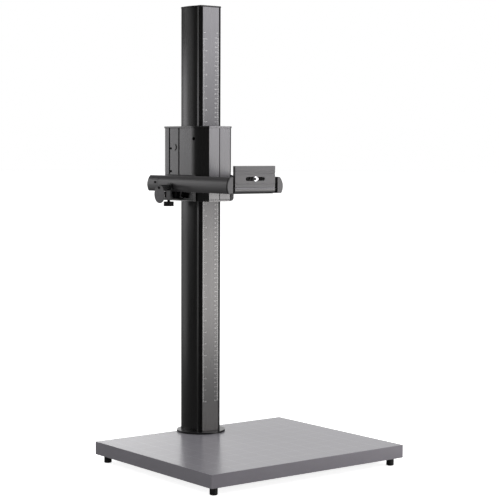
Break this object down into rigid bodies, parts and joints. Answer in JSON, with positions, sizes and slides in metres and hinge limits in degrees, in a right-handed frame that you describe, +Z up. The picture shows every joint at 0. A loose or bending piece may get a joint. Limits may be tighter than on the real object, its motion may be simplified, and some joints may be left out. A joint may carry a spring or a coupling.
{
  "type": "copy stand",
  "caption": "Copy stand with a flat baseboard, a tall bulging column with printed scales, a cranked carriage and two sliding arms that hold a tilting camera plate.",
  "frame": {"origin": "middle of the baseboard's upper face, where the original lies", "axes": "+Z up along the column, +X to the right along the front edge, +Y to the back, where the column stands"},
  "size_m": [0.5, 0.492, 0.973],
  "materials": {
    "laminate": "satin grey laminate on a wood-fibre core",
    "edge_strip": "satin",
    "rubber": "matt black rubber",
    "steel": "turned, bright",
    "steel_dark": "blackened",
    "black_enamel": "satin black enamel",
    "black_anodised": "black anodised, fine vertical grain",
    "housing": "black anodised, satin",
    "cast_alloy": "plain machined",
    "grey_cap": "satin dark grey",
    "plate_alloy": "dark grey anodised, ribbed",
    "black_plastic": "fine-grained black plastic",
    "pale_plastic": "smooth slippery plastic",
    "brass": "turned"
  },
  "bodies": {
    "base": {"baseboard": "laminate", "edging": "edge_strip", "foot_front_left": "rubber", "foot_front_right": "rubber", "foot_back_left": "rubber", "foot_back_right": "rubber", "foot_screws": "steel", "foot_flange": "black_enamel", "flange_bolts": "steel", "column": "black_anodised", "friction_strip": "steel", "column_cap": "black_plastic", "cap_screws": "steel_dark"},
    "carriage": {"shell_left": "housing", "shell_right": "housing", "side_cover_left": "housing", "side_cover_right": "housing", "back_cover": "housing", "frame_top": "cast_alloy", "frame_bottom": "cast_alloy", "lid_top": "black_enamel", "lid_bottom": "black_enamel", "pads_top": "pale_plastic", "pads_bottom": "pale_plastic", "cover_screws": "steel_dark", "axle_cap": "black_plastic", "brake_screw": "steel_dark", "shaft_bushes": "brass", "rail_left": "housing", "rail_right": "housing", "rail_stop": "black_plastic", "clamp_bracket": "black_enamel"},
    "crank": {"crank_shaft": "steel", "friction_wheel": "rubber", "crank_arm": "black_enamel", "crank_pin": "steel"},
    "grip": {"crank_grip": "black_plastic"},
    "arms": {"arm_left": "black_anodised", "arm_right": "black_anodised", "front_cap_left": "grey_cap", "front_cap_right": "grey_cap", "back_cap_left": "black_plastic", "back_cap_right": "black_plastic", "arm_screws": "steel_dark", "hinge_bar": "steel", "hinge_washers": "black_plastic"},
    "plate": {"camera_plate": "plate_alloy"},
    "bush": {"screw_bush": "steel"},
    "screw": {"camera_screw": "steel", "screw_knob": "black_plastic"},
    "clamp": {"clamp_spindle": "black_plastic", "clamp_disc": "black_plastic", "clamp_end_screw": "steel_dark"},
    "stop": {"stop_stem": "black_plastic", "stop_knob": "black_plastic"}
  },
  "joints": [
    {"name": "carriage_slide", "type": "slide", "parent": "base", "child": "carriage", "axis": [0, 0, 1], "range_m": [-0.45, 0.25]},
    {"name": "crank_turn", "type": "hinge", "parent": "carriage", "child": "crank", "pos_m": [0.0055, 0.2313, 0.622], "axis": [1, 0, 0], "range_deg": [-1842.5, 1024]},
    {"name": "grip_spin", "type": "hinge", "parent": "crank", "child": "grip", "pos_m": [0.0915, 0.26654, 0.65157], "axis": [1, 0, 0], "continuous": true},
    {"name": "arm_slide", "type": "slide", "parent": "carriage", "child": "arms", "axis": [0, 1, 0], "range_m": [-0.034, 0.06]},
    {"name": "plate_tilt", "type": "hinge", "parent": "arms", "child": "plate", "pos_m": [0.0055, -0.003, 0.537], "axis": [1, 0, 0], "range_deg": [-90, 90]},
    {"name": "screw_shift", "type": "slide", "parent": "plate", "child": "bush", "axis": [1, 0, 0], "range_m": [-0.02, 0.021]},
    {"name": "screw_turn", "type": "hinge", "parent": "bush", "child": "screw", "pos_m": [0.005, -0.0035, 0.559], "axis": [0, 1, 0], "continuous": true},
    {"name": "clamp_turn", "type": "hinge", "parent": "carriage", "child": "clamp", "pos_m": [-0.0825, 0.1905, 0.5375], "axis": [1, 0, 0], "range_deg": [-90, 90]},
    {"name": "stop_turn", "type": "hinge", "parent": "carriage", "child": "stop", "pos_m": [-0.0605, 0.21, 0.505], "axis": [0, 0, 1], "continuous": true}
  ],
  "couplings": [
    {"joint": "crank_turn", "follows": "carriage_slide", "rad_per_m": 71.429}
  ]
}
